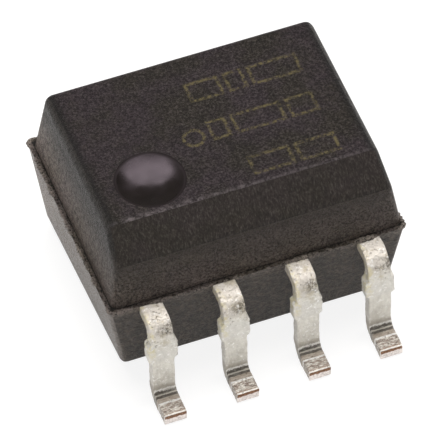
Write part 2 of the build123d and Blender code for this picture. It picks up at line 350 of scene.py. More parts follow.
def scaled(tree, value, by):
    """A place or a colour with its three numbers multiplied."""
    return add(tree, "VectorMath", {0: value, 1: by}, operation="MULTIPLY").outputs[0]


def cloud(tree, place, size, detail=4, roughness=0.6, seed=0):
    """Noise about 0.5 with features of a size in millimetres."""
    moved = add(tree, "VectorMath", {0: place, 1: (seed, seed, seed)}, operation="ADD").outputs[0]
    sockets = {"Vector": moved, "Scale": 1 / size, "Detail": detail, "Roughness": roughness}
    return add(tree, "TexNoise", sockets).outputs["Fac"]


def tint(tree, share, first, second, strength=1):
    """Mix of two colours, each a socket or three numbers, by a share times a strength."""
    sockets = {0: share if strength == 1 else product(tree, share, strength)}
    for key, colour in ((6, first), (7, second)):
        sockets[key] = colour if isinstance(colour, bpy.types.NodeSocket) else (*colour, 1)
    return add(tree, "Mix", sockets, data_type="RGBA").outputs[2]


def new_material(name, **constants):
    """Material with its constants on the shader, and the place on the part in millimetres."""
    material = bpy.data.materials.new(name)
    material.use_nodes = True
    tree = material.node_tree
    surface = tree.nodes["Principled BSDF"]
    for key, value in constants.items():
        surface.inputs[key.replace("_", " ")].default_value = value
    here = add(tree, "TexCoord").outputs["Object"]
    place = add(tree, "VectorMath", {0: here, "Scale": 1 / MM}, operation="SCALE").outputs[0]
    return material, tree, surface, place


def relief(tree, surface, *heights):
    """Bumps on the surface: pairs of a height from 0 to 1 and its depth in millimetres, added up."""
    normal = None
    for height, depth in heights:
        sockets = {"Height": height, "Distance": depth * MM, "Strength": 1}
        if normal is not None:
            sockets["Normal"] = normal
        normal = add(tree, "Bump", sockets).outputs[0]
    tree.links.new(normal, surface.inputs["Normal"])


PORE_SIZE = 0.036
PORE_COLOUR = (0.002, 0.0015, 0.001)
SPECK_COLOUR = (0.16, 0.14, 0.13)
SKIN_DEPTH = 0.060
PORE_ROUGHNESS = 0.15


def epoxy(name, colours, grain, specks, roughness, stretch=(1, 1, 1), **constants):
    """Black moulding compound: mottled dark and light, with purple patches, pores, specks and grain."""
    material, tree, surface, place = new_material(name, **constants)
    dark, light, purple = colours
    mottle = ramp(tree, cloud(tree, place, size=0.30, detail=6, roughness=0.75), 0.32, 0.68)
    patch = ramp(tree, cloud(tree, place, size=0.7, detail=3, seed=7), 0.40, 0.60)
    colour = tint(tree, patch, tint(tree, mottle, dark, light), purple)
    drawn = scaled(tree, place, stretch)
    fine = cloud(tree, drawn, size=PORE_SIZE, roughness=0.8, seed=3)
    coarse = cloud(tree, drawn, size=0.12, detail=5, roughness=0.75, seed=5)
    pore = calc(tree, "MULTIPLY", ramp(tree, fine, 0.53, 0.40), 0.9 * grain, clamp=True)
    colour = tint(tree, pore, colour, PORE_COLOUR)
    speck = calc(tree, "MULTIPLY", ramp(tree, fine, 0.53, 0.68), specks, clamp=True)
    colour = tint(tree, speck, colour, SPECK_COLOUR)
    tree.links.new(colour, surface.inputs["Base Color"])
    in_pores = roughness + PORE_ROUGHNESS * grain
    on_grains = roughness - PORE_ROUGHNESS * grain
    levels = {"Value": fine, "From Min": 0.36, "From Max": 0.66, "To Min": in_pores, "To Max": on_grains}
    tree.links.new(add(tree, "MapRange", levels).outputs[0], surface.inputs["Roughness"])
    relief(tree, surface, (fine, SKIN_DEPTH * grain), (coarse, SKIN_DEPTH * grain))
    return material, tree, surface, place, colour


# Laser marks: plain outlined boxes in three rows, each given as its lowest and highest x and y, and a ring.
LASER_BOXES = (
    (-0.12, 0.42, 0.74, 1.12),
    (0.56, 0.84, 0.74, 1.12),
    (0.98, 1.80, 0.74, 1.12),
    (-0.06, 0.22, -0.16, 0.22),
    (0.36, 1.18, -0.16, 0.22),
    (1.32, 1.76, -0.16, 0.22),
    (0.30, 0.98, -1.10, -0.74),
    (1.12, 1.78, -1.10, -0.74),
)
LASER_RING = (-0.375, -0.017)
LASER_RING_RADIUS = 0.17
LASER_LINE = 0.042
LASER_COLOUR = (0.170, 0.140, 0.062)


def distance(tree, place, centre):
    """Distance on the top from a point."""
    x, y = axes(tree, place)[:2]
    across = calc(tree, "SUBTRACT", x, centre[0])
    along = calc(tree, "SUBTRACT", y, centre[1])
    return calc(tree, "SQRT", calc(tree, "MULTIPLY_ADD", across, across, product(tree, along, along)))


def laser_marks(tree, place):
    """Share of laser mark on the top: thin lines that the grain of the skin breaks up."""
    coordinates = axes(tree, place)
    from_ring = calc(tree, "SUBTRACT", distance(tree, place, LASER_RING), LASER_RING_RADIUS)
    nearest = calc(tree, "ABSOLUTE", from_ring)
    for x_low, x_high, y_low, y_high in LASER_BOXES:
        past = []
        for coordinate, low, high in ((coordinates[0], x_low, x_high), (coordinates[1], y_low, y_high)):
            middle = calc(tree, "SUBTRACT", coordinate, (low + high) / 2)
            past.append(calc(tree, "SUBTRACT", calc(tree, "ABSOLUTE", middle), (high - low) / 2))
        edge = calc(tree, "ABSOLUTE", calc(tree, "MAXIMUM", *past))
        nearest = calc(tree, "MINIMUM", nearest, edge)
    line = ramp(tree, nearest, LASER_LINE, LASER_LINE / 3)
    unbroken = ramp(tree, cloud(tree, place, size=0.05, detail=3, roughness=0.7, seed=21), 0.42, 0.60)
    on_top = ramp(tree, coordinates[2], TOP_Z - 0.02, TOP_Z - 0.01)
    return product(tree, line, unbroken, on_top)


# Top: a broken painted highlight along the front edge, wider and stronger at the first-lead end, and painted
# shade where the ends roll over.
TOP_LIGHT = (0.034, 0.025, 0.019)
TOP_COLOURS = ((0.018, 0.013, 0.009), TOP_LIGHT, (0.037, 0.024, 0.031))
TOP_ROUGHNESS = 0.60
TOP_SPECULAR = 0.35
ROLL_X = 2.26
ROLL_WIDTH = 0.13
ROLL_SHADE_COLOUR = (0.003, 0.0025, 0.002)
HIGHLIGHT_EDGE_Y = -1.26
HIGHLIGHT_EDGE_WIDTH = 0.05
HIGHLIGHT_EDGE_GAIN = 0.04
HIGHLIGHT_EDGE_WANDER = 0.06
EDGE_HIGHLIGHT_COLOUR = (0.165, 0.142, 0.148)

top_epoxy, tree, surface, place, colour = epoxy(
    "epoxy", TOP_COLOURS, grain=1.0, specks=0.6, roughness=TOP_ROUGHNESS, Specular_IOR_Level=TOP_SPECULAR
)
x, y, z = axes(tree, place)
colour = tint(tree, laser_marks(tree, place), colour, LASER_COLOUR)
# Painted highlight along the front edge of the top, wandering and broken up by noise.
wander = cloud(tree, place, size=0.10, roughness=0.7, seed=71)
wandering_y = calc(tree, "MULTIPLY_ADD", wander, HIGHLIGHT_EDGE_WANDER, y)
from_edge = calc(tree, "ABSOLUTE", calc(tree, "SUBTRACT", wandering_y, HIGHLIGHT_EDGE_Y))
first_lead_end = ramp(tree, x, 0.4, -1.2)
highlight_width = calc(tree, "MULTIPLY_ADD", first_lead_end, HIGHLIGHT_EDGE_GAIN, HIGHLIGHT_EDGE_WIDTH)
near_edge = calc(tree, "SUBTRACT", 1, calc(tree, "DIVIDE", from_edge, highlight_width), clamp=True)
near_top = ramp(tree, z, TOP_Z - 0.1, TOP_Z - 0.05)
highlight_breaks = ramp(tree, cloud(tree, place, size=0.11, detail=5, roughness=0.8, seed=31), 0.42, 0.62)
strength = calc(tree, "MULTIPLY_ADD", first_lead_end, 0.7, 0.8)
colour = tint(tree, product(tree, near_edge, near_top, strength, highlight_breaks), colour, EDGE_HIGHLIGHT_COLOUR)
# Painted shade where the top rolls over at the ends.
painted_roll_shade = ramp(tree, calc(tree, "ABSOLUTE", x), ROLL_X - ROLL_WIDTH, ROLL_X)
colour = tint(tree, painted_roll_shade, colour, ROLL_SHADE_COLOUR, strength=0.75)
tree.links.new(colour, surface.inputs["Base Color"])

# Dimple: the polished pin leaves it smooth and glossy, a little hazy in patches and rough at the rim.
DIMPLE_COLOURS = ((0.006, 0.005, 0.004), (0.009, 0.007, 0.005), (0.008, 0.006, 0.005))
DIMPLE_REFLECTION = (0.97, 0.81, 0.97, 1)
DIMPLE_ROUGHNESS = 0.22
HAZE_ROUGHNESS = 0.12
RIM_ROUGHNESS = 0.5

dimple_epoxy, tree, surface, place, colour = epoxy(
    "polished epoxy", DIMPLE_COLOURS, grain=0.02, specks=0, roughness=0.24,
    Specular_IOR_Level=0.27, Specular_Tint=DIMPLE_REFLECTION,
)
haze = ramp(tree, cloud(tree, place, size=0.30, detail=1, roughness=0.5, seed=61), 0.35, 0.65)
rim = ramp(tree, distance(tree, place, DIMPLE_CENTRE), DIMPLE_RADIUS - 0.055, DIMPLE_RADIUS - 0.015)
rough = calc(tree, "MULTIPLY_ADD", haze, HAZE_ROUGHNESS, DIMPLE_ROUGHNESS)
rough = calc(tree, "MULTIPLY_ADD", rim, RIM_ROUGHNESS, rough)
tree.links.new(rough, surface.inputs["Roughness"])
relief(tree, surface, (cloud(tree, place, size=0.50, detail=1, roughness=0.4, seed=12), 0.022))

# Ledge: pale broken resin, paler still as painted light, with painted shade in the crevice where the upper
# half rises from it.
LEDGE_COLOURS = ((0.090, 0.072, 0.055), (0.200, 0.165, 0.132), (0.150, 0.120, 0.110))
CREVICE_NEAR, CREVICE_FAR = 0.059, 0.074
CREVICE_SHADE_COLOUR = (0.012, 0.010, 0.008)

# The pale colours are partly painted light.
ledge_epoxy, tree, surface, place, colour = epoxy(
    "ledge epoxy", LEDGE_COLOURS, grain=1.2, specks=0.8, roughness=0.6, Specular_IOR_Level=0.3
)
x, y, _ = axes(tree, place)
# Painted shade in the crevice next to the upper half, with a ragged edge.
past_side = calc(tree, "SUBTRACT", calc(tree, "ABSOLUTE", y), UPPER_Y[1])
past_end = calc(tree, "SUBTRACT", calc(tree, "ABSOLUTE", x), UPPER_X[1])
lumps = cloud(tree, place, size=0.09, detail=5, roughness=0.7, seed=41)
ragged = calc(tree, "MULTIPLY_ADD", lumps, 0.10, calc(tree, "MAXIMUM", past_side, past_end))
painted_crevice_shade = ramp(tree, ragged, CREVICE_FAR, CREVICE_NEAR)
tree.links.new(tint(tree, painted_crevice_shade, colour, CREVICE_SHADE_COLOUR), surface.inputs["Base Color"])

# Chamfer: as dark as the top, with a grain that the mould has drawn out downwards.
CHAMFER_COLOURS = ((0.015, 0.011, 0.007), (0.028, 0.021, 0.015), (0.027, 0.019, 0.017))
chamfer_epoxy = epoxy(
    "drawn epoxy", CHAMFER_COLOURS, grain=0.65, specks=0.35, roughness=TOP_ROUGHNESS,
    stretch=(1.2, 0.5, 0.5), Specular_IOR_Level=TOP_SPECULAR,
)[0]

# Long sides: paler than the top as painted light, dark under the chamfer, with more painted light towards the
# parting line, crumbled just below the ledge.
SIDE_COLOURS = ((0.026, 0.019, 0.014), (0.108, 0.083, 0.063), (0.078, 0.058, 0.051))
LOWER_MOTTLE = ((0.006, 0.005, 0.004), (0.160, 0.126, 0.098))
CRUMB_COLOURS = ((0.040, 0.031, 0.024), (0.270, 0.230, 0.190))
PAINTED_LIGHT_HEIGHT = 0.8
PAINTED_LIGHT_LIFT = 1.8
DARK_HEIGHT = 0.22
CHAMFER_FOOT_Z = TOP_Z - CHAMFER

side_epoxy, tree, surface, place, colour = epoxy(
    "side epoxy", SIDE_COLOURS, grain=1.4, specks=1.0, roughness=0.42,
    Specular_IOR_Level=0.35, Sheen_Weight=0.22, Sheen_Roughness=0.35, Sheen_Tint=(1.0, 0.88, 0.78, 1),
)
height = axes(tree, place)[2]
mottle = ramp(tree, cloud(tree, place, size=0.08, detail=5, roughness=0.9, seed=55), 0.46, 0.58)
lower_half = ramp(tree, height, PARTING_Z - 0.02, PARTING_Z - 0.10)
colour = tint(tree, lower_half, colour, tint(tree, mottle, *LOWER_MOTTLE), strength=0.8)
crumbs = cloud(tree, place, size=0.10, detail=5, roughness=0.75, seed=51)
depth = calc(tree, "MULTIPLY_ADD", crumbs, 0.16, calc(tree, "SUBTRACT", PARTING_Z - 0.02, height))
crumbled = product(tree, ramp(tree, depth, 0.22, 0.14), ramp(tree, height, PARTING_Z, PARTING_Z - 0.01))
flecks = ramp(tree, cloud(tree, place, size=0.045, roughness=0.75, seed=52), 0.45, 0.60)
colour = tint(tree, crumbled, colour, tint(tree, flecks, *CRUMB_COLOURS))
# Painted light: the colour lifted paler just above the parting line, fading out higher up.
above_parting = ramp(tree, height, PARTING_Z - 0.02, PARTING_Z)
painted_light_rise = product(tree, ramp(tree, height, PARTING_Z + PAINTED_LIGHT_HEIGHT, PARTING_Z), above_parting)
colour = tint(tree, painted_light_rise, colour, scaled(tree, colour, [PAINTED_LIGHT_LIFT] * 3))
under_chamfer = ramp(tree, height, CHAMFER_FOOT_Z - DARK_HEIGHT, CHAMFER_FOOT_Z)
colour = tint(tree, under_chamfer, colour, TOP_LIGHT, strength=0.7)
tree.links.new(colour, surface.inputs["Base Color"])

# Ends: paler than the sides, their colour lifted as painted light, palest at the back and low down, with a
# sheen, and painted shade where they roll over into the top. Each is given as its name, roughness, lift of
# the colour, dust (the weight of its sheen) and specular level.
END_COLOURS = ((0.044, 0.033, 0.025), (0.086, 0.067, 0.053), (0.074, 0.056, 0.050))
END_ROLL_LOW, END_ROLL_HIGH = TOP_Z - 0.90, TOP_Z - 0.30
BACK_Y, FRONT_Y = 1.6, -0.8
ENDS = (
    ("upper end epoxy", 0.38, 2.5, 0.06, 0.30),
    ("lower end epoxy", 0.34, 2.6, 0.35, 0.50),
)
end_epoxies = []
for name, roughness, lift, dust, specular in ENDS:
    end_epoxy, tree, surface, place, colour = epoxy(
        name, END_COLOURS, grain=1.0, specks=0.8, roughness=roughness, stretch=(0.6, 0.6, 0.6),
        Specular_IOR_Level=specular,
        Sheen_Weight=dust, Sheen_Roughness=0.35, Sheen_Tint=(1.0, 0.90, 0.82, 1),
    )
    _, y, z = axes(tree, place)
    # Painted light: the colour is lifted by its lift, less towards the front.
    towards_front = ramp(tree, y, BACK_Y, FRONT_Y)
    colour = tint(tree, towards_front, scaled(tree, colour, [lift] * 3), TOP_LIGHT, strength=0.5)
    # Painted shade where the end rolls over into the top.
    painted_roll_shade = ramp(tree, z, END_ROLL_LOW, END_ROLL_HIGH)
    colour = tint(tree, painted_roll_shade, colour, ROLL_SHADE_COLOUR, strength=0.9)
    tree.links.new(colour, surface.inputs["Base Color"])
    end_epoxies.append(end_epoxy)

body_finishes = [top_epoxy, dimple_epoxy, ledge_epoxy, side_epoxy, chamfer_epoxy, *end_epoxies]
finish_piece(body, "moulded_body_cast", body_finishes, "moulded_body", BODY_SHARP_ANGLE)


# Parting flash: the ragged skin of epoxy that squeezes out between the halves of the mould. It stands up
# along the outer edge of the ledge, paler where it has been broken off and paler still as painted light.
FLASH_SIZE = 0.026
FLASH_INSET = 0.012
FLASH_FLATNESS = 0.9
FLASH_CORNER = 0.11
CORNER_STEPS = 8
FLASH_STEP = 0.012
FLASH_SIDES = 8
LUMP_MEAN, LUMP_GAIN = 0.85, 2.0
LUMP_LEAST, LUMP_MOST = 0.2, 1.9
LUMP_WAVES, LUMP_NOISE = 2.6, (0.6, 2.3, 5)
RISE_MEAN, RISE_GAIN = 0.1, 0.5
RISE_WAVES, RISE_NOISE = 5, (0.6, 2.1, 3)
RISE_SEED = Vector((0, 7, 0))
ROUGH_WAVES, ROUGH_GAIN = 40, 0.5
ROUGH_SEED_STEP = 1.7
FLASH_SHARP_ANGLE = radians(80)
SEAM_WIDTH = 1e-6
BROKEN_COLOURS = ((0.100, 0.084, 0.068), (0.620, 0.540, 0.460), (0.340, 0.285, 0.260))


def rounded_outline(x_range, y_range, radius, step):
    """Points round a rectangle with rounded corners, each with its outward direction."""
    points = []
    corners = (
        (x_range[1] - radius, y_range[0] + radius, -90),
        (x_range[1] - radius, y_range[1] - radius, 0),
        (x_range[0] + radius, y_range[1] - radius, 90),
        (x_range[0] + radius, y_range[0] + radius, 180),
    )
    for (x, y, start_angle), (x_next, y_next, _) in zip(corners, corners[1:] + corners[:1]):
        for part in range(CORNER_STEPS + 1):
            angle = radians(start_angle + 90 * part / CORNER_STEPS)
            outward = Vector((cos(angle), sin(angle)))
            points.append((Vector((x, y)) + outward * radius, outward))
        straight_start, outward = points[-1]
        straight_end = Vector((x_next, y_next)) + outward * radius
        count = int((straight_end - straight_start).length / step)
        for part in range(1, count):
            points.append((straight_start.lerp(straight_end, part / count), outward))
    return points


def skin(sections):
    """Skin over closed sections with equal numbers of points: a flat grid bent round them and merged."""
    mesh = bmesh.new()
    bmesh.ops.create_grid(mesh, x_segments=len(sections[0]), y_segments=len(sections) - 1, size=1)
    spots = [spot for section in sections for spot in section + section[:1]]
    for point, spot in zip(mesh.verts, spots):
        point.co = spot
    bmesh.ops.remove_doubles(mesh, verts=mesh.verts, dist=SEAM_WIDTH)
    return mesh


flash_sections = []
for spot, outward in rounded_outline(LOWER_X, LOWER_Y, FLASH_CORNER, FLASH_STEP):
    spot = spot.to_3d()
    lump = LUMP_MEAN + LUMP_GAIN * noise.fractal(spot * LUMP_WAVES, *LUMP_NOISE)
    size = FLASH_SIZE * min(LUMP_MOST, max(LUMP_LEAST, lump))
    lift = RISE_MEAN + RISE_GAIN * noise.fractal(spot * RISE_WAVES + RISE_SEED, *RISE_NOISE)
    section = []
    for number in range(FLASH_SIDES):
        angle = 2 * pi * number / FLASH_SIDES
        rough = 1 + ROUGH_GAIN * noise.noise(spot * ROUGH_WAVES + Vector((0, 0, number * ROUGH_SEED_STEP)))
        reach = size * rough * cos(angle) - FLASH_INSET
        height = size * rough * sin(angle) * FLASH_FLATNESS + FLASH_SIZE * lift - FLASH_INSET
        section.append((spot.x + outward.x * reach, spot.y + outward.y * reach, PARTING_Z + height))
    flash_sections.append(section)
flash = skin(flash_sections + flash_sections[:1])
# The pale colours are partly painted light.
broken_epoxy = epoxy(
    "broken epoxy", BROKEN_COLOURS, grain=1.1, specks=1.0, roughness=0.5, Specular_IOR_Level=0.4
)[0]
finish_piece(flash, "parting_flash", [broken_epoxy], None, FLASH_SHARP_ANGLE)


# Leads 1 to 8: stamped from copper alloy, tinned, cast into the body and then cut apart and formed. Each has
# its finger or pad inside, wider stubs where the tie bar was cut away, and a bare copper cut at the toe.
LEAD_PITCH = 1.27
LEAD_HALF_WIDTH = 0.195
LEAD_HALF_THICKNESS = 0.10
LEAD_SHARP_ANGLE = radians(50)
FRAME_Z = 1.75
DROP_Y = 2.465
TOE_Y = 3.09
WALL_Y = 1.955
JOGGLE_Y = 1.505
JOGGLE_RUN = 0.35
EMITTER_PAD_Z = 2.34
DETECTOR_PAD_Z = 1.42
BEND_RADII = (0.18, 0.18, 0.21, 0.23)
BEND_STEP = radians(7)
BEND_LEAST_STEPS = 6
STUB_LOW, STUB_HIGH = 1.03, 1.37
STUB_SIDE = 0.055
STUB_SLOPE = 0.05
PAD_SLOPE = 0.03
EDGE_RADIUS = 0.02
END_RADIUS = 0.012
END_SEGMENTS = 2
FACE_STEPS = 8
ROUTE_STEP = 0.025
FOOT_STEP = 0.010
FOOT_TOP = 0.36
CUT_FINISH = 1


def bent_route(points, radii):
    """Centre line in the y-z plane, rounded at its corner points: places with their directions."""
    route = [(Vector(points[0]), (Vector(points[1]) - Vector(points[0])).normalized())]
    for corner, radius in zip(range(1, len(points) - 1), radii):
        here = Vector(points[corner])
        before = (here - Vector(points[corner - 1])).normalized()
        after = (Vector(points[corner + 1]) - here).normalized()
        turn = before.angle_signed(after)
        start = here - before * (radius * tan(abs(turn) / 2))
        inward = Vector((before.y, -before.x)) * (1 if turn > 0 else -1)
        centre = start + inward * radius
        steps = max(BEND_LEAST_STEPS, int(abs(turn) / BEND_STEP))
        for step in range(steps + 1):
            spin = Matrix.Rotation(-turn * step / steps, 2)
            route.append((centre - spin @ (inward * radius), spin @ before))
    end = Vector(points[-1])
    route.append((end, (end - Vector(points[-2])).normalized()))
    return route


def lead_section(x_low, x_high):
    """Points round the lead's section, across and through the thickness, its edges a little rounded."""
    low, high = x_low + EDGE_RADIUS, x_high - EDGE_RADIUS
    flat = LEAD_HALF_THICKNESS - EDGE_RADIUS
    # Each face of the strip has its first and last x, its height, and the two rounded edges that follow it.
    outer = (low, high, LEAD_HALF_THICKNESS, ((high, flat, (60, 30, 0)), (high, -flat, (0, -30, -60))))
    inner = (high, low, -LEAD_HALF_THICKNESS, ((low, -flat, (240, 210, 180)), (low, flat, (180, 150, 120))))
    points = []
    for start_x, end_x, face_height, edges in (outer, inner):
        for part in range(FACE_STEPS + 1):
            points.append((start_x + (end_x - start_x) * part / FACE_STEPS, face_height))
        for x, height, angles in edges:
            for angle in angles:
                x_out = x + EDGE_RADIUS * cos(radians(angle))
                points.append((x_out, height + EDGE_RADIUS * sin(radians(angle))))
    return points


def lead_edges(y, z, centre_x, pad):
    """Lowest and highest x of the lead at a place on its route: plain strip, stub or inner pad."""
    x_low, x_high = centre_x - LEAD_HALF_WIDTH, centre_x + LEAD_HALF_WIDTH
    if y < -WALL_Y:
        inside = min(z - STUB_LOW, STUB_HIGH - z)
        extra = STUB_SIDE * min(1, max(0, 1 + inside / STUB_SLOPE))
        return x_low - extra, x_high + extra
    pad_low, pad_high, pad_start = pad
    share = min(1, max(0, (y - pad_start) / PAD_SLOPE))
    x_low += (min(pad_low, x_low) - x_low) * share
    x_high += (max(pad_high, x_high) - x_high) * share
    return x_low, x_high


# The forming tool leaves grooves and ridges across the heel, each given as its distance from the middle of
# the part, half width and depth. The surface is worn in long and short waves, and the stubs' sides are torn.
TOOL_MARKS = (
    (2.583, 0.010, -0.006),
    (2.608, 0.018, 0.009),
    (2.637, 0.008, -0.004),
    (2.672, 0.022, 0.010),
    (2.806, 0.016, -0.012),
)
WEAR = 0.007
SIDE_WEAR = 1.2
LONG_WAVES, SHORT_WAVES = 5, 18
SHORT_WAVE_SHARE = 0.5
BURR = 0.020
BURR_REACH = 0.1
BURR_WAVES = Vector((1, 2, 14))
SEED_STEP = 10


def worn_point(number, point, up, side, face):
    """Where a point of the lead has come to lie, by wear, tool marks and the torn sides of the stubs."""
    seed = point + Vector((SEED_STEP * number, 0, 0))
    wear = WEAR * (noise.noise(seed * LONG_WAVES) + SHORT_WAVE_SHARE * noise.noise(seed * SHORT_WAVES))
    torn = 0
    if point.y < -WALL_Y and STUB_LOW - BURR_REACH < point.z < STUB_HIGH + BURR_REACH:
        torn = BURR * abs(noise.noise(seed * BURR_WAVES))
    point.x += (SIDE_WEAR * wear + torn) * side
    if face > 0 and point.z < FRAME_Z / 2:
        for mark_out, mark_width, mark_depth in TOOL_MARKS:
            wear -= mark_depth * max(0, 1 - abs(point.y + mark_out) / mark_width)
    point += up * wear * face
    point.z = max(point.z, 0)
    return point


def formed_lead(number, centre_x, inner_y, inner_z, pad, sides, materials):
    """One lead, drawn along its route on the front right and then mirrored or turned to its own place."""
    corners = (
        (inner_y, inner_z),
        (JOGGLE_RUN - JOGGLE_Y, inner_z),
        (-JOGGLE_Y, FRAME_Z),
        (-DROP_Y, FRAME_Z),
        (-DROP_Y, LEAD_HALF_THICKNESS),
        (-TOE_Y, LEAD_HALF_THICKNESS),
    )
    rough_route = bent_route(corners, BEND_RADII)
    stations = []
    for (start, start_turn), (end, end_turn) in zip(rough_route, rough_route[1:]):
        count = max(1, round((end - start).length / (FOOT_STEP if end.y < FOOT_TOP else ROUTE_STEP)))
        for step in range(count):
            share = step / count
            stations.append((start.lerp(end, share), start_turn.lerp(end_turn, share).normalized()))
    stations.append(rough_route[-1])
    sections = []
    for spot, along in stations:
        up = Vector((0, along.y, -along.x))
        section = []
        for x, height in lead_section(*lead_edges(*spot, centre_x, pad)):
            point = Vector((x, *spot)) + up * height
            side = 1 if x > centre_x else -1
            face = 1 if height > 0 else -1
            section.append(worn_point(number, point, up, side, face))
        sections.append(section)
    mesh = skin(sections)
    open_edges = [edge for edge in mesh.edges if edge.is_boundary]
    ends = bmesh.ops.holes_fill(mesh, edges=open_edges, sides=0)["faces"]
    toe = min(ends, key=lambda end: end.calc_center_median().y)
    toe.material_index = CUT_FINISH
    for end in ends:
        bmesh.ops.bevel(
            mesh, geom=list(end.edges), offset=END_RADIUS, segments=END_SEGMENTS,
            affect="EDGES", profile=0.5, material=-1,
        )
    bmesh.ops.scale(mesh, vec=(*sides, 1), verts=mesh.verts)
    name = f"lead_{number}"
    finish_piece(mesh, f"{name}_formed", materials, name, LEAD_SHARP_ANGLE)


def between(tree, value, low, high, softness):
    """1 where a value lies between two limits, with soft edges."""
    rise = ramp(tree, value, low - softness, low + softness)
    return product(tree, rise, ramp(tree, value, high + softness, high - softness))


# The tin from the top down: brownish on the shoulder, scuffed at the bend, pressed flat on the stubs, drawn
# down the drop, smeared above the heel, crossed by painted reflections and highlights in bands over the heel
# and near the toe, rubbed to brown metal on the foot, and dotted with painted glints.
# A band is given as its lowest and highest distance from the middle of the part, its colour and strength.
TIN_DULL, TIN_BRIGHT = (0.63, 0.605, 0.55), (0.88, 0.86, 0.80)
SHOULDER_TIN = (0.70, 0.65, 0.60)
STUB_TIN = (0.75, 0.735, 0.705)
PRESSED_TIN = (0.57, 0.55, 0.51)
DRAWN_TIN = (0.48, 0.45, 0.40)
SMEARED_TIN = (0.34, 0.30, 0.25)
DROP_TIN = (0.58, 0.54, 0.47)
STAINED_TIN = (0.46, 0.40, 0.27)
YELLOW_RIM = (0.72, 0.65, 0.38)
BROWN_METAL = (0.34, 0.275, 0.235)
FOOT_SHINE = (0.97, 0.92, 0.88)
FOOT_PIT = (0.12, 0.09, 0.07)
FOOT_SPARK = (0.99, 0.97, 0.94)
PIT = (0.20, 0.16, 0.12)
SCUFF = (0.13, 0.11, 0.075)
GLINT = (0.99, 0.98, 0.96)
HEEL_REFLECTION_BANDS = (
    (2.574, 2.590, (0.97, 0.95, 0.92), 0.9),
    (2.592, 2.626, (0.07, 0.058, 0.045), 0.9),
    (2.630, 2.644, (0.60, 0.56, 0.50), 0.8),
    (2.648, 2.694, (0.09, 0.074, 0.058), 0.9),
    (2.700, 2.790, (0.50, 0.43, 0.36), 0.75),
    (2.790, 2.828, (1.0, 0.99, 0.97), 1.0),
    (3.030, 3.050, (0.36, 0.27, 0.21), 0.8),
    (3.056, 3.100, (0.95, 0.92, 0.88), 0.9),
)
BAND_SOFTNESS = 0.003
BAND_LEAST = 0.55

tin, tree, surface, place = new_material("tin", Metallic=0.3)
x, y, height = axes(tree, place)
out = calc(tree, "ABSOLUTE", y)
repeat = calc(tree, "SUBTRACT", calc(tree, "FRACT", calc(tree, "DIVIDE", x, LEAD_PITCH)), 0.5)
off_centre = product(tree, repeat, LEAD_PITCH)
upper = ramp(tree, height, 1.20, 1.45)
near_board = ramp(tree, height, 0.40, 0.30)
foot = product(tree, near_board, ramp(tree, out, 2.68, 2.70))
stub = between(tree, height, 1.0, 1.40, 0.05)
broad = cloud(tree, place, size=0.16, detail=5, roughness=0.65)
fine = cloud(tree, place, size=0.03, roughness=0.65, seed=5)
across = scaled(tree, place, (0.3, 1, 1))

colour = tint(tree, ramp(tree, broad, 0.3, 0.7), TIN_DULL, TIN_BRIGHT)
colour = tint(tree, ramp(tree, height, 1.45, 1.65), colour, SHOULDER_TIN, strength=0.75)
colour = tint(tree, stub, colour, STUB_TIN, strength=0.4)
pressed = ramp(tree, cloud(tree, place, size=0.07, roughness=0.8, seed=91), 0.46, 0.62)
colour = tint(tree, product(tree, stub, pressed), colour, PRESSED_TIN, strength=0.40)
drawn = cloud(tree, scaled(tree, place, (1, 1, 0.22)), size=0.055, roughness=0.75, seed=93)
streaks = product(tree, ramp(tree, drawn, 0.48, 0.62), between(tree, height, 0.40, 1.00, 0.08))
colour = tint(tree, streaks, colour, DRAWN_TIN, strength=0.30)

smear_noise = cloud(tree, place, size=0.25, detail=3, seed=17)
smear_height = calc(tree, "MULTIPLY_ADD", smear_noise, 0.16, height)
smear = product(tree, ramp(tree, smear_height, 0.50, 0.40), ramp(tree, out, 2.60, 2.57))
colour = tint(tree, smear, colour, SMEARED_TIN, strength=0.75)
drop_patches = ramp(tree, cloud(tree, place, size=0.12, roughness=0.7, seed=19), 0.40, 0.62)
lower_drop = product(tree, ramp(tree, height, 0.95, 0.35), drop_patches)
colour = tint(tree, lower_drop, colour, DROP_TIN, strength=0.6)
stain = ramp(tree, cloud(tree, place, size=0.20, roughness=0.75, seed=4), 0.50, 0.64)
colour = tint(tree, product(tree, stain, upper), colour, STAINED_TIN, strength=0.6)
rim_patches = ramp(tree, cloud(tree, place, size=0.10, roughness=0.7, seed=37), 0.46, 0.56)
left_rim = product(tree, ramp(tree, off_centre, -0.10, -0.16), rim_patches, ramp(tree, height, 0.9, 1.3))
colour = tint(tree, left_rim, colour, YELLOW_RIM, strength=0.6)

brushed = cloud(tree, across, size=0.035, roughness=0.7, seed=23)
colour = tint(tree, product(tree, foot, ramp(tree, brushed, 0.42, 0.54)), colour, BROWN_METAL)
colour = tint(tree, product(tree, foot, ramp(tree, brushed, 0.44, 0.34)), colour, FOOT_SHINE, strength=0.8)
grit = cloud(tree, across, size=0.026, roughness=0.85, seed=81)
colour = tint(tree, product(tree, foot, ramp(tree, grit, 0.54, 0.62)), colour, FOOT_PIT, strength=0.85)
colour = tint(tree, product(tree, foot, ramp(tree, grit, 0.45, 0.37)), colour, FOOT_SPARK, strength=0.85)

gaps = ramp(tree, cloud(tree, across, size=0.03, roughness=0.8, seed=27), 0.34, 0.50)
unbroken = calc(tree, "MULTIPLY_ADD", gaps, 1 - BAND_LEAST, BAND_LEAST)
wavy_out = calc(tree, "MULTIPLY_ADD", calc(tree, "SUBTRACT", fine, 0.5), 0.03, out)
# Painted reflections and highlights in bands across the heel and near the toe.
for nearest, farthest, reflection_colour, strength in HEEL_REFLECTION_BANDS:
    reflection_band = between(tree, wavy_out, nearest, farthest, BAND_SOFTNESS)
    colour = tint(tree, product(tree, reflection_band, near_board, unbroken), colour, reflection_colour, strength)

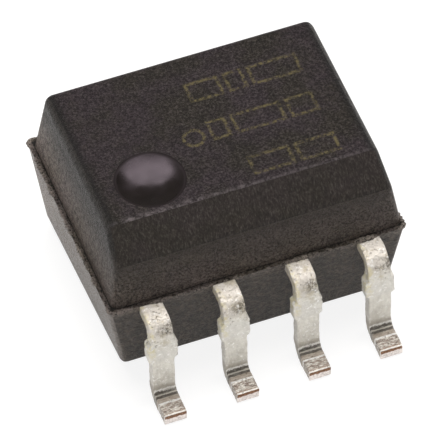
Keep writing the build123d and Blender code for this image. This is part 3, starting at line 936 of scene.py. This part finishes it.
pits = ramp(tree, cloud(tree, place, size=0.05, detail=3, seed=9), 0.60, 0.70)
worn = product(tree, pits, calc(tree, "ADD", upper, foot, clamp=True))
colour = tint(tree, worn, colour, PIT, strength=0.7)
scuff_grain = ramp(tree, cloud(tree, place, size=0.045, roughness=0.75, seed=44), 0.47, 0.56)
scuff_patches = ramp(tree, cloud(tree, place, size=0.22, detail=3, seed=45), 0.35, 0.45)
bend = product(tree, between(tree, height, 1.60, 1.78, 0.05), ramp(tree, out, 2.42, 2.46))
scuff = product(tree, scuff_grain, scuff_patches, bend, ramp(tree, off_centre, -0.14, 0.08))
colour = tint(tree, scuff, colour, SCUFF, strength=0.85)
spots = ramp(tree, cloud(tree, place, size=0.06, detail=3, roughness=0.7, seed=33), 0.58, 0.66)
glints = product(tree, spots, calc(tree, "SUBTRACT", 0.8, near_board, clamp=True))
colour = tint(tree, glints, colour, GLINT)
tree.links.new(colour, surface.inputs["Base Color"])
rough = add(tree, "MapRange", {"Value": broad, "To Min": 0.42, "To Max": 0.58}).outputs[0]
tree.links.new(rough, surface.inputs["Roughness"])
dents = cloud(tree, place, size=0.07, detail=3, seed=13)
relief(tree, surface, (fine, 0.008), (dents, 0.034), (broad, 0.035), (worn, -0.012), (scuff, -0.010))

# The cut at the toe shows bare copper along its upper edge, where the blade came in, and smeared tin below.
COPPER_DARK, COPPER_LIGHT = (0.085, 0.045, 0.025), (0.34, 0.19, 0.12)
CUT_TIN_LIGHT, CUT_TIN_DARK = (0.88, 0.81, 0.77), (0.60, 0.55, 0.52)

cut, tree, surface, place = new_material("cut copper", Metallic=1, Roughness=0.5)
height = axes(tree, place)[2]
ragged = calc(tree, "MULTIPLY_ADD", cloud(tree, place, size=0.06, detail=3), 0.08, height)
streaks = ramp(tree, cloud(tree, place, size=0.03, detail=3), 0.35, 0.65)
copper = tint(tree, streaks, COPPER_DARK, COPPER_LIGHT)
smudge = ramp(tree, cloud(tree, place, size=0.05, roughness=0.8, seed=95), 0.44, 0.60)
cut_tin = tint(tree, smudge, CUT_TIN_LIGHT, CUT_TIN_DARK)
colour = tint(tree, ramp(tree, ragged, 0.160, 0.180), cut_tin, copper)
tree.links.new(colour, surface.inputs["Base Color"])
relief(tree, surface, (cloud(tree, place, size=0.04), 0.006))

# Each inner tab or pad is given as its lowest and highest x and the y where it begins. A lead is given as
# its number, its x, the y and z of its inner end, its tab or pad, and the signs that put it in its own place.
EMITTER_TAB = (1.33, 2.10, -0.36)
EMITTER_PAD = (0.47, 1.13, -0.36)
DETECTOR_PADDLE = (-1.35, 2.10, -0.50)
OUTPUT_TAB = (0.405, 0.865, -1.04)
SUPPLY_TAB = (1.64, 2.10, -1.04)
INNER_X, OUTER_X = LEAD_PITCH / 2, 1.5 * LEAD_PITCH
LEADS = (
    (1, OUTER_X, -0.02, EMITTER_PAD_Z, EMITTER_TAB, (-1, 1)),
    (2, INNER_X, 0.36, EMITTER_PAD_Z, EMITTER_PAD, (-1, 1)),
    (3, INNER_X, 0.36, EMITTER_PAD_Z, EMITTER_PAD, (1, 1)),
    (4, OUTER_X, -0.02, EMITTER_PAD_Z, EMITTER_TAB, (1, 1)),
    (5, OUTER_X, 0.50, DETECTOR_PAD_Z, DETECTOR_PADDLE, (1, -1)),
    (6, INNER_X, -0.70, DETECTOR_PAD_Z, OUTPUT_TAB, (1, -1)),
    (7, INNER_X, -0.70, DETECTOR_PAD_Z, OUTPUT_TAB, (-1, -1)),
    (8, OUTER_X, -0.70, DETECTOR_PAD_Z, SUPPLY_TAB, (-1, -1)),
)
for lead in LEADS:
    formed_lead(*lead, [tin, cut])


# Inside the body: chips of silicon and of the emitter's crystal, their silver-filled bonds, the clear drops
# of silicone between them and the gold wires. They are bonded and cast in, and only show in an opened body.
def inner_finish(name, dark, light, size, **constants):
    """Slightly uneven finish for a piece inside the body."""
    material, tree, surface, place = new_material(name, **constants)
    colour = tint(tree, ramp(tree, cloud(tree, place, size), 0.3, 0.7), dark, light)
    tree.links.new(colour, surface.inputs["Base Color"])
    return material


crystal = inner_finish("emitter crystal", (0.10, 0.04, 0.04), (0.14, 0.06, 0.05), 0.1, Roughness=0.2)
silicon = inner_finish("silicon", (0.08, 0.09, 0.12), (0.12, 0.13, 0.17), 0.2, Roughness=0.15, Metallic=0.5)
bond = inner_finish("silver epoxy", (0.40, 0.40, 0.40), (0.62, 0.62, 0.60), 0.03, Roughness=0.5, Metallic=0.8)
silicone = inner_finish(
    "clear silicone", (0.90, 0.92, 0.93), (0.96, 0.97, 0.97), 0.3,
    Roughness=0.06, Transmission_Weight=1, IOR=1.41,
)
gold = inner_finish("gold", (0.95, 0.64, 0.24), (1.0, 0.74, 0.32), 0.05, Roughness=0.22, Metallic=1)
INNER_FINISHES = {
    "emitter_chip": crystal,
    "detector_chip": silicon,
    "emitter_bond": bond,
    "detector_bond": bond,
    "light_guide": silicone,
    "emitter_wire": gold,
    "output_wire": gold,
    "ground_wire": gold,
    "supply_wire": gold,
}
for name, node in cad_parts.items():
    if not node.hide_render:
        node.data.materials.clear()
        node.data.materials.append(INNER_FINISHES[name.rpartition("_")[0]])


# Floor: a plain pale sheet that the part stands on. To the camera and in reflections it is white, and it
# keeps the part's soft shadow.
FLOOR_SIZE = 2
FLOOR_COLOUR = (0.88, 0.88, 0.88)
SEEN_FLOOR_COLOUR = (0.20, 0.20, 0.20)
SEEN_FLOOR_GLOW = 0.86

bpy.ops.mesh.primitive_plane_add(size=FLOOR_SIZE)
floor = bpy.context.object
floor.name = "floor"
sheet, tree, surface, _ = new_material("pale floor", Roughness=1, Specular_IOR_Level=0)
surface.inputs["Emission Color"].default_value = (1, 1, 1, 1)
rays = add(tree, "LightPath").outputs
seen = calc(tree, "ADD", rays["Is Camera Ray"], rays["Is Glossy Ray"])
seen = calc(tree, "ADD", seen, rays["Is Transmission Ray"], clamp=True)
tree.links.new(tint(tree, seen, FLOOR_COLOUR, SEEN_FLOOR_COLOUR), surface.inputs["Base Color"])
tree.links.new(product(tree, seen, SEEN_FLOOR_GLOW), surface.inputs["Emission Strength"])
floor.data.materials.append(sheet)
